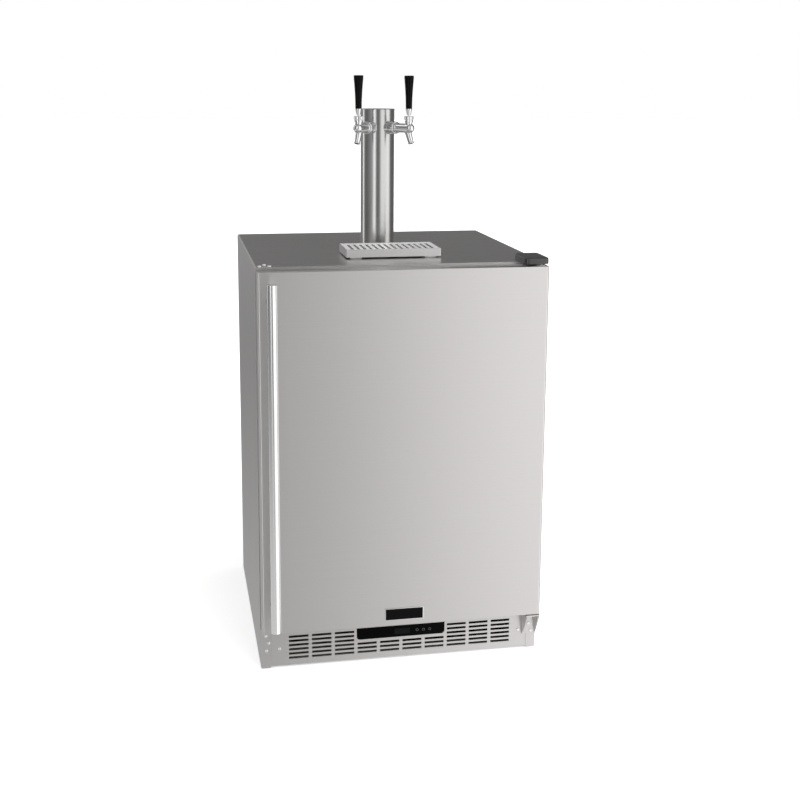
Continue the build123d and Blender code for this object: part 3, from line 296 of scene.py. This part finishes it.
shell = traced("cabinet_wrap", "cabinet_shell", "cabinet", sheet_steel)
ease(shell, 0.3)
shell.data.materials.append(top_steel.material)
for face in shell.data.polygons:
    face.material_index = 1 if face.normal.z > 0.7 else 0

galvanised.on(node["back_panel"], node["base_pan"])
# one blade slopes down behind the top of each slot, in columns and rows as the slots are
BLADE_COLUMNS, BLADE_ROWS = 4, 9
COLUMN_PITCH, ROW_PITCH = 90 * mm, 14 * mm
FIRST_COLUMN, FIRST_SLOT_TOP = -180 * mm, 83 * mm
BLADE_LONG, BLADE_DEEP, BLADE_THICK = 69.4 * mm, 8 * mm, 0.9 * mm
BLADE_TILT = math.radians(40)
BLADE_INSIDE, BLADE_BELOW = 3.98 * mm, 2.4 * mm
BLADE_LIP = (0, -1.5 * mm, -3 * mm)
blade_place = (FIRST_COLUMN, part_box("back_panel")[1].y - BLADE_INSIDE, FIRST_SLOT_TOP - BLADE_BELOW)
bpy.ops.object.select_all(action="DESELECT")
bpy.ops.mesh.primitive_cube_add(size=1, location=blade_place, scale=(BLADE_LONG, BLADE_DEEP, BLADE_THICK),
                                rotation=(BLADE_TILT, 0, 0))
blade = bpy.context.object
bpy.ops.object.transform_apply(location=True, rotation=True, scale=True)
edit(blade, lambda middle, normal: normal.y < -0.7)
bpy.ops.mesh.extrude_region_move(TRANSFORM_OT_translate={"value": BLADE_LIP})
leave()
offsets = [(column * COLUMN_PITCH, 0, row * ROW_PITCH) for column in range(BLADE_COLUMNS)
           for row in range(BLADE_ROWS)]
further_blades = [copied(blade, offset) for offset in offsets[1:]]
alone(blade)
for further_blade in further_blades:
    further_blade.select_set(True)
bpy.ops.object.join()
louvre_blades = assign(blade, "cabinet", galvanised, "louvre_blades")
modify(louvre_blades, "BEVEL", width=0.25 * mm, segments=2, limit_method="ANGLE")
settle(louvre_blades)

black_plastic = Finish("black_plastic", (0.02, 0.02, 0.021), 0.42, Specular_IOR_Level=0.45)
black_plastic.vary(black_plastic.noise(900, 3), (0.014, 0.014, 0.015), (0.028, 0.028, 0.03), 0.36, 0.5,
                   0.00004)
black_plastic.on(node["cord_gland"])


# ---------------------------------------------------------------- liner and foam
# The bay is one vacuum formed white tub with a step over the compressor and a steel faced front flange.
# Rigid polyurethane foam poured behind it fills the walls and holds tub and shell together.
FRONT_DEPTH = 1 * mm


def steel_faced_front(piece):
    """Gives the faces at the very front of a piece the shell's steel."""
    front = min(corner.co.y for corner in piece.data.vertices)
    piece.data.materials.append(sheet_steel.material)
    for face in piece.data.polygons:
        face.material_index = 1 if face.center.y < front + FRONT_DEPTH else 0


liner_white = Finish("liner_white", (0.62, 0.63, 0.63), 0.35, Specular_IOR_Level=0.5)
peel = liner_white.noise(260, 2)
liner_tone = peel * 0.4 + liner_white.noise(3, 2) * 0.6
liner_white.vary(liner_tone, (0.58, 0.59, 0.595), (0.66, 0.67, 0.67), 0.26, 0.4)
liner_white.relief(peel, 0.00006)
tub = traced("inner_liner", "bay_liner", "cabinet", liner_white)
ease(tub, 0.8)
steel_faced_front(tub)

foam = Finish("rigid_foam", (0.8, 0.7, 0.45), 0.9)
foam.vary(foam.cells(420, "Distance"), (0.7, 0.6, 0.36), (0.88, 0.8, 0.56), 0.8, 0.95, 0.0004)
foam.on(node["cabinet_foam"], node["door_foam"], node["tower_sleeve"])
steel_faced_front(node["cabinet_foam"])


# ---------------------------------------------------------------- cooling machine
# A black painted hermetic compressor, an aluminium fin and tube condenser and a small axial fan stand on
# the base pan behind the grille. The condenser is black, partly as a coating and partly as painted shade
# behind the grille's slots.
# The evaporator is a roll bonded plate at the back of the bay.
compressor_paint = Finish("compressor_paint", (0.016, 0.016, 0.017), 0.4, 0.0, Coat_Weight=0.3)
compressor_paint.vary(compressor_paint.noise(60, 5), (0.01, 0.01, 0.011), (0.035, 0.034, 0.033), 0.3, 0.6,
                      0.00008)
# the condenser coil takes the same black: partly a black coating, partly painted shade so the grille's
# slots read dark
compressor_paint.on(node["compressor"], node["condenser_coil"])

aluminium = Finish("bare_aluminium", (0.72, 0.73, 0.74), 0.34, 1.0)
mill = aluminium.noise(7, 3, UPRIGHT_GRAIN)
aluminium.vary(mill * 0.5 + aluminium.noise(14, 3) * 0.5, (0.62, 0.63, 0.65), (0.8, 0.81, 0.82), 0.26, 0.46)
aluminium.relief(mill, 0.00003)
aluminium.on(node["cold_plate"])
galvanised.on(node["fan_shroud"])
black_plastic.on(node["condenser_fan"])


# ---------------------------------------------------------------- corner posts, toe grille and touch panel
# Folded stainless posts close the front corners of the base, and a punched stainless grille is screwed
# between them. The control is a black glass lens set in a window of the grille.
posts = traced("corner_posts", "base_posts", "cabinet", sheet_steel)
ease(posts, 0.25)
grille = traced("front_grille", "toe_grille", "cabinet", sheet_steel, whole_flats=False)
ease(grille, 0.2)


def centre(source):
    """The middle of a CAD piece's box."""
    low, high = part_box(source)
    return (low + high) / 2


LENS_Z = centre("control_panel").z
WINDOW_X, WINDOW_HALF_LONG, WINDOW_HALF_HIGH = 3 * mm, 17 * mm, 6.5 * mm
KEY_PLACES = [36 * mm, 50 * mm, 64 * mm]
KEY_RADIUS, KEY_HALF_LINE = 2.6 * mm, 0.45 * mm
black_glass = Finish("black_glass", (0.001, 0.001, 0.001), 0.1, Specular_IOR_Level=0.04)
glass_x, _, glass_z = black_glass.place(move=(0, 0, -LENS_Z)).parts()
window = (abs(glass_x - WINDOW_X) < WINDOW_HALF_LONG) * (abs(glass_z) < WINDOW_HALF_HIGH)
key_rings = 0
for key_x in KEY_PLACES:
    from_key = black_glass.place(move=(-key_x, 0, -LENS_Z), stretch=(1, 0, 1)).length()
    key_rings = key_rings + (abs(from_key - KEY_RADIUS) < KEY_HALF_LINE)
shade = black_glass.blend(window, (0.001, 0.001, 0.001), (0.006, 0.0065, 0.007))
black_glass.feed("Base Color", black_glass.blend(key_rings, shade, (0.09, 0.092, 0.095)))
black_glass.feed("Roughness", window * 0.1 + black_glass.noise(30, 3) * 0.06 + 0.04)
lens = traced("control_panel", "touch_panel_lens", "cabinet", black_glass)
ease(lens, 0.5, 3)


# ---------------------------------------------------------------- hinges, their cover, plugs and screws
# The door turns on two steel pins. The lower one is staked in a pressed bracket below the door, the upper
# one in a plate on the cabinet's top under a black snap-on cap. Pale plugs fill the spare holes.
bracket = traced("lower_hinge_bracket", "lower_hinge_pressing", "cabinet", sheet_steel)
ease(bracket, 0.35)
sheet_steel.on(node["upper_hinge_plate"])
cap_black = Finish("hinge_cap_black", (0.008, 0.008, 0.008), 0.2, Specular_IOR_Level=0.9)
cap_black.vary(cap_black.noise(700, 3), (0.006, 0.006, 0.006), (0.012, 0.012, 0.012), 0.16, 0.3, 0.00008)
cap = traced("hinge_cover", "hinge_cap", "cabinet", cap_black)
settle(cap)

plug_plastic = Finish("plug_plastic", (0.46, 0.46, 0.455), 0.3)
plug_plastic.vary(plug_plastic.noise(500, 2), (0.42, 0.42, 0.415), (0.5, 0.5, 0.495), 0.24, 0.36, 0.00003)
plug_plastic.on(node["hinge_hole_plugs"])

polished = Finish("polished_steel", (0.78, 0.775, 0.77), 0.14, 1.0)
rub = polished.noise(6, 3, UPRIGHT_GRAIN)
polished.vary(rub, (0.7, 0.695, 0.69), (0.84, 0.835, 0.83), 0.1, 0.2)
polished.on(node["cabinet_screws"])


# ---------------------------------------------------------------- tower
# A three inch stainless tube stands on the top over the line hole, pulled down by four bolts from inside
# the bay. A pressed lid closes it, and a foam sleeve inside keeps the lines cold.
tower_steel = stainless("tower_steel", LEVEL_GRAIN, (0.5, 0.497, 0.493), 0.2, 0.28, 0.7)
column = traced("tower_column", "tower_tube", "cabinet", tower_steel)
ease(column, 0.3)
tower_steel.on(node["tower_cap"])
galvanised.on(node["tower_bolts"])


# ---------------------------------------------------------------- taps
# Each tap is a chromed brass casting drawn onto its shank by a round nut. The lever's ball sits under a
# knurled ring, and a black moulded grip screws onto its ferrule.
chrome = Finish("bright_chrome", (0.66, 0.665, 0.67), 0.05, 1.0)
chrome.vary(chrome.noise(45, 4), (0.62, 0.62, 0.625), (0.7, 0.705, 0.71), 0.03, 0.11)
chrome.on(node["tap_shanks"], node["shank_rings"], node["coupling_nuts"], node["bonnet_rings"])


def cast(source, name, body, finish, grain, rounds):
    """A copy of a CAD piece with its joins run together like a casting's, meshed anew at a grain in
    millimetres and smoothed in a number of rounds."""
    piece = traced(source, name, body, finish)
    modify(piece, "REMESH", mode="VOXEL", voxel_size=grain * mm)
    modify(piece, "SMOOTH", factor=0.5, iterations=rounds)
    alone(piece)
    bpy.ops.object.shade_smooth()
    return piece


def turned(name, profile, start, way, vertices=48):
    """A turned piece with both ends closed. The profile is (distance along the axis, radius), in
    millimetres."""
    bpy.ops.object.select_all(action="DESELECT")
    bpy.ops.mesh.primitive_circle_add(vertices=vertices, radius=profile[0][1] * mm, fill_type="NGON",
                                      location=(0, 0, 0))
    piece = bpy.context.object
    bpy.ops.object.mode_set(mode="EDIT")
    bpy.ops.mesh.select_all(action="SELECT")
    along, radius = profile[0]
    bpy.ops.transform.translate(value=(0, 0, along * mm))
    for next_along, next_radius in profile[1:]:
        step = (0, 0, (next_along - along) * mm)
        bpy.ops.mesh.extrude_region_move(TRANSFORM_OT_translate={"value": step})
        ratio = next_radius / radius
        bpy.ops.transform.resize(value=(ratio, ratio, 1), center_override=(0, 0, next_along * mm))
        along, radius = next_along, next_radius
    bpy.ops.mesh.select_all(action="SELECT")
    bpy.ops.mesh.normals_make_consistent(inside=False)
    leave()
    piece.rotation_euler = Vector(way).to_track_quat("Z", "Y").to_euler()
    piece.location = start
    piece.name = piece.data.name = name
    return settle(piece, 40)


grip_black = Finish("grip_black", (0.002, 0.002, 0.002), 0.25, Specular_IOR_Level=0.08)
grip_black.vary(grip_black.noise(80, 4), (0.001, 0.001, 0.001), (0.003, 0.003, 0.003), 0.2, 0.32)
GRIP_PROFILE = [(0.0, 5.6), (0.05, 6.6), (0.8, 7.0), (8, 7.1), (20, 7.35), (34, 8.0), (48, 8.95), (60, 9.9),
                (67, 10.5), (69.5, 10.7), (71.2, 10.2), (71.9, 9.2), (72.0, 7.5)]
for side in ("left", "right"):
    cast(f"faucet_body_{side}", f"tap_casting_{side}", "cabinet", chrome, grain=0.5, rounds=6)
    chrome.on(node[f"faucet_lever_{side}"], node[f"faucet_shaft_{side}"])
    grip_foot = centre(f"tap_handle_{side}")
    grip_foot.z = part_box(f"tap_handle_{side}")[0].z
    grip = turned(f"tap_grip_{side}", GRIP_PROFILE, grip_foot, (0, 0, 1))
    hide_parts(f"tap_handle_{side}")
    assign(grip, f"{side}_tap_lever", grip_black)


# ---------------------------------------------------------------- drip tray and its grid
# A folded stainless pan stands loose on the top, with a slotted stainless plate dropped into it. The
# slots are punched, so their edges are slightly rolled over.
tray_steel = stainless("tray_steel", LEVEL_GRAIN, (0.7, 0.695, 0.69), 0.28, 0.4, 0.5)
tray = traced("drip_tray", "drip_pan", "tray", tray_steel)
ease(tray, 0.35)
grid_steel = stainless("grid_steel", UPRIGHT_GRAIN, (0.88, 0.875, 0.87), 0.3, 0.45, 0.0)
grid_steel.shader.inputs["Metallic"].default_value = 0.5
grid = traced("drip_grid", "drip_plate", "grid", grid_steel)
ease(grid, 0.6, 3)


# ---------------------------------------------------------------- gas and beer parts in the bay
# An aluminium gas bottle stands on the step with a brass regulator on its valve. Its hose goes by a tee to
# two chromed keg couplers, and clear beer line runs from each coupler up the back into the tower.
aluminium.on(node["gas_cylinder"])
brass = Finish("cast_brass", (0.72, 0.53, 0.25), 0.3, 1.0)
brass.vary(brass.noise(55, 5), (0.6, 0.42, 0.18), (0.8, 0.62, 0.33), 0.2, 0.42, 0.00006)
cast("gas_regulator", "regulator_casting", "cabinet", brass, grain=0.8, rounds=4)
black_plastic.on(node["regulator_knob"])
wheel_green = Finish("valve_wheel_green", (0.03, 0.16, 0.07), 0.4)
wheel_green.vary(wheel_green.noise(220, 3), (0.022, 0.12, 0.05), (0.045, 0.2, 0.09), 0.34, 0.5, 0.00006)
wheel_green.on(node["gas_valve_wheel"])

needle_black = Finish("needle_black", (0.01, 0.01, 0.01), 0.3)
needle_black.vary(needle_black.noise(400, 2), (0.008, 0.008, 0.008), (0.02, 0.02, 0.02), 0.25, 0.4)
KNOB_TO_BODY = 24.3 * mm
GAUGE_FRONT = 18 * mm
# each gauge's place beside the regulator's middle, to the right and up, and its needle's angle
GAUGES = {"low": (0, 44 * mm, math.radians(50)), "high": (40 * mm, 10 * mm, math.radians(-35))}
RIM_PROFILE = [(-3, 19.2), (-3, 19.4), (1.2, 19.4), (1.8, 18.9), (1.9, 17.6), (1.2, 17.0), (0.4, 16.9),
               (0.4, 2)]
DIAL_PROFILE = [(0.1, 16.6), (0.5, 16.6), (0.6, 16.4), (0.6, 3)]
NEEDLE_PROFILE = [(-3.5, 0.5), (-3, 0.8), (0, 0.9), (11, 0.25)]
NEEDLE_PROUD = 1.4 * mm
# the scale's turns are in radians from straight up
SCALE_END = 2.3
TICK_PITCH, TICK_WIDE = math.pi / 15, 0.05
TICK_INSIDE, TICK_OUTSIDE = 12.2 * mm, 15 * mm
ARC_RADIUS, ARC_HALF_LINE = 15.1 * mm, 0.2 * mm
TOWARDS_FRONT = (0, -1, 0)
regulator_middle = centre("regulator_knob")
regulator_middle.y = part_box("regulator_knob")[1].y + KNOB_TO_BODY
for name, (to_right, up, needle_angle) in GAUGES.items():
    face_middle = regulator_middle + Vector((to_right, -GAUGE_FRONT, up))
    rim = turned(f"gauge_rim_{name}", RIM_PROFILE, face_middle, TOWARDS_FRONT)
    assign(rim, "cabinet", polished)

    dial_paper = Finish(f"dial_{name}", (0.85, 0.85, 0.83), 0.45)
    flat = dial_paper.place(move=(-face_middle.x, 0, -face_middle.z), stretch=(1, 0, 1))
    dial_x, _, dial_z = flat.parts()
    radius = flat.length()
    angle = dial_paper.add("ShaderNodeMath", {"operation": "ARCTAN2"}, {0: dial_x, 1: dial_z})
    on_scale = abs(angle) < SCALE_END
    in_ticks = (radius > TICK_INSIDE) * (radius < TICK_OUTSIDE)
    ticks = ((angle % TICK_PITCH) < TICK_WIDE) * in_ticks * on_scale
    arc = (abs(radius - ARC_RADIUS) < ARC_HALF_LINE) * on_scale
    dial_paper.feed("Base Color", dial_paper.blend(ticks + arc, (0.85, 0.85, 0.83), (0.03, 0.03, 0.03)))
    dial_paper.feed("Roughness", dial_paper.noise(300, 2) * 0.15 + 0.35)
    dial = turned(f"gauge_dial_{name}", DIAL_PROFILE, face_middle, TOWARDS_FRONT)
    assign(dial, "cabinet", dial_paper)

    needle_way = (math.sin(needle_angle), 0, math.cos(needle_angle))
    needle_foot = face_middle + Vector((0, -NEEDLE_PROUD, 0))
    needle = turned(f"gauge_needle_{name}", NEEDLE_PROFILE, needle_foot, needle_way, vertices=12)
    assign(needle, "cabinet", needle_black)

for side in ("left", "right"):
    chrome.on(node[f"coupler_lever_{side}"])
    black_plastic.on(node[f"coupler_probe_{side}"])
cast("keg_couplers", "coupler_castings", "cabinet", chrome, grain=0.9, rounds=4)

beer_hose = Finish("clear_beer_hose", (0.86, 0.88, 0.87), 0.12, Specular_IOR_Level=0.6, Coat_Weight=0.4)
beer_hose.vary(beer_hose.noise(90, 2), (0.76, 0.78, 0.76), (0.9, 0.92, 0.91), 0.08, 0.2)
beer_hose.on(node["beer_lines"])
gas_hose = Finish("red_gas_hose", (0.4, 0.03, 0.025), 0.35)
gas_hose.vary(gas_hose.noise(700, 2), (0.32, 0.02, 0.018), (0.46, 0.04, 0.034), 0.28, 0.44, 0.00005)
gas_hose.on(node["gas_line"])

CLAMP_PROFILE = [(-4, 5.6), (-4, 6.0), (-3.6, 6.4), (3.6, 6.4), (4, 6.0), (4, 5.6)]
CLAMP_ABOVE = 8 * mm
PROBE_RADIUS = 9 * mm
clamp_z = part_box("keg_couplers")[1].z + CLAMP_ABOVE
for side in ("left", "right"):
    clamp_x = centre(f"coupler_lever_{side}").x
    clamp_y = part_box(f"coupler_probe_{side}")[0].y + PROBE_RADIUS
    clamp = turned(f"hose_clamp_{side}", CLAMP_PROFILE, (clamp_x, clamp_y, clamp_z), (0, 0, 1))
    assign(clamp, "cabinet", polished)


# ---------------------------------------------------------------- door
# The door is a folded stainless pan filled with foam, with a moulded white inner panel that holds a
# magnetic seal. A polished bar on two turned posts is bolted through the skin. A blank plate is stuck on.
skin = traced("door_skin", "door_pan", "door", sheet_steel)
ease(skin, 0.25)
inner = traced("door_liner", "door_inner_panel", "door", liner_white)
settle(inner)

gasket_rubber = Finish("gasket_rubber", (0.3, 0.3, 0.31), 0.55)
gasket_rubber.vary(gasket_rubber.noise(500, 2), (0.24, 0.24, 0.25), (0.36, 0.36, 0.37), 0.48, 0.65, 0.00005)
seal = traced("door_gasket", "magnetic_seal", "door", gasket_rubber, whole_flats=False)
ease(seal, 1.8, 3)

bush_nylon = Finish("bush_nylon", (0.8, 0.78, 0.72), 0.4, Subsurface_Weight=0.1)
bush_nylon.vary(bush_nylon.noise(200, 2), (0.74, 0.72, 0.66), (0.84, 0.82, 0.76), 0.34, 0.48)
bush_nylon.on(node["hinge_bushes"])

handle_steel = stainless("handle_steel", UPRIGHT_GRAIN, (0.8, 0.795, 0.79), 0.14, 0.22, 0.4)
handle_steel.on(node["handle_bar"], node["handle_posts"])

badge_edge = Finish("badge_edge", (0.75, 0.75, 0.75), 0.2, 1.0)
badge_edge.vary(badge_edge.noise(300, 2), (0.7, 0.7, 0.7), (0.8, 0.8, 0.8), 0.15, 0.28)
badge_black = Finish("badge_black", (0.002, 0.002, 0.002), 0.3, Specular_IOR_Level=0.05)
badge_black.vary(badge_black.noise(900, 2), (0.001, 0.001, 0.001), (0.004, 0.004, 0.004), 0.24, 0.42,
                 0.00003)
badge = traced("door_badge", "name_plate", "door", badge_edge)
badge.data.materials.append(badge_black.material)
BADGE_RIM, BADGE_RECESS = 1.1 * mm, 0.5 * mm
edit(badge, lambda middle, normal: normal.y < -0.99)
bpy.ops.mesh.inset(thickness=BADGE_RIM, use_boundary=True)
bpy.ops.mesh.extrude_region_move(TRANSFORM_OT_translate={"value": (0, BADGE_RECESS, 0)})
badge.active_material_index = 1
bpy.ops.object.material_slot_assign()
leave()
ease(badge, 0.15)


# ---------------------------------------------------------------- studio
# A pale floor without an edge, one broad soft light, and a dim room that the bare metal mirrors. Its walls
# have a bright strip to the left, another at the front left and a broad bright stretch at the front right.
bpy.ops.object.select_all(action="DESELECT")
bpy.ops.mesh.primitive_plane_add(size=80, location=(0, 0, 0))
floor = bpy.context.object
floor.name = "studio_floor"
floor.visible_glossy = False
floor_paint = Finish("floor_paint", (0.9, 0.9, 0.9), 0.95, Emission_Color=(1, 1, 1, 1),
                     Emission_Strength=0.3)
floor_paint.on(floor)

world = bpy.data.worlds.new("studio_room")
bpy.context.scene.world = world
world.use_nodes = True
room = Shop(world.node_tree)
way = room.add("ShaderNodeTexCoord", {}, {}, "Generated")
way_x, way_y, way_z = way.parts()
bearing = room.add("ShaderNodeMath", {"operation": "ARCTAN2"}, {0: way_x, 1: 0 - way_y})
# degrees from straight in front, to the right, and the wall's brightness there
WALLS = [(-180, 0.4), (-160, 0.39), (-130, 0.26), (-123, 1.9), (-117, 1.9), (-109, 0.25), (-86, 0.17),
         (-56, 0.44), (-44, 0.75), (-35, 1.8), (-24, 2.3), (-18, 0.3), (-8, 0.18), (2, 0.24), (9, 0.5),
         (13, 1.15), (20, 1.4), (45, 1.45), (70, 1.6), (79, 1.4), (88, 0.3), (108, 0.17), (140, 0.2),
         (160, 0.16), (174, 0.17)]
BRIGHTEST = max(level for _, level in WALLS)
LEFT_FOOT_DIM = 0.65
FLOOR_LEVEL = 0.74
OVERHEAD_LEVEL = 0.5
OPEN_LEVEL = 1.0
wall_stops = [(degrees / 360 + 0.5, level / BRIGHTEST) for degrees, level in WALLS]
walls = room.add("ShaderNodeValToRGB", {"stops": wall_stops}, {0: bearing / math.tau + 0.5}) * BRIGHTEST
downwards = 0 - way_z
left_foot = downwards.ramped(0.1, 0.2) * (bearing < -0.2) * LEFT_FOOT_DIM
walls = walls * (1 - left_foot)
pale_floor = downwards.ramped(0.06, 0.46) * FLOOR_LEVEL
around = room.add("ShaderNodeMath", {"operation": "MAXIMUM"}, {0: walls, 1: pale_floor})
steep = abs(way_z).ramped(0.62, 0.92)
mirrored = room.add("ShaderNodeMix", {"data_type": "FLOAT"}, {0: steep, 2: around, 3: OVERHEAD_LEVEL})
open_view = room.add("ShaderNodeLightPath", {}, {}, "Is Camera Ray")
glow = room.add("ShaderNodeMix", {"data_type": "FLOAT"}, {0: open_view, 2: mirrored, 3: OPEN_LEVEL})
backdrop = world.node_tree.nodes["Background"]
backdrop.inputs["Color"].default_value = (1, 1, 1, 1)
world.node_tree.links.new(glow.socket, backdrop.inputs["Strength"])

LIGHT_WAY = Vector((-1.2, 2.2, -4.5))
soft_light = bpy.data.lights.new("soft_light", "SUN")
soft_light.energy = 2.6
soft_light.angle = math.radians(80)
soft_lamp = bpy.data.objects.new("soft_lamp", soft_light)
bpy.context.scene.collection.objects.link(soft_lamp)
soft_lamp.visible_glossy = False
soft_lamp.rotation_euler = LIGHT_WAY.to_track_quat("-Z", "Y").to_euler()

CAMERA_LEFT, CAMERA_FROM_DOOR, CAMERA_HIGH = 0.483, 2.397, 1.233
YAW, PITCH, ROLL = math.radians(11.08), math.radians(10.6), math.radians(0.38)
SENSOR_WIDTH, LENS, SHIFT_UP = 36, 54.8, -0.11
camera_data = bpy.data.cameras.new("camera")
camera = bpy.data.objects.new("camera", camera_data)
bpy.context.scene.collection.objects.link(camera)
bpy.context.scene.camera = camera
camera.location = (-CAMERA_LEFT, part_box("door_skin")[0].y - CAMERA_FROM_DOOR, CAMERA_HIGH)
ahead = Vector((math.sin(YAW) * math.cos(PITCH), math.cos(YAW) * math.cos(PITCH), -math.sin(PITCH)))
camera.rotation_mode = "QUATERNION"
camera.rotation_quaternion = ahead.to_track_quat("-Z", "Y") @ Quaternion((0, 0, 1), ROLL)
camera_data.sensor_width = SENSOR_WIDTH
camera_data.lens = LENS
camera_data.shift_y = SHIFT_UP
bpy.context.scene.view_settings.view_transform = "Standard"
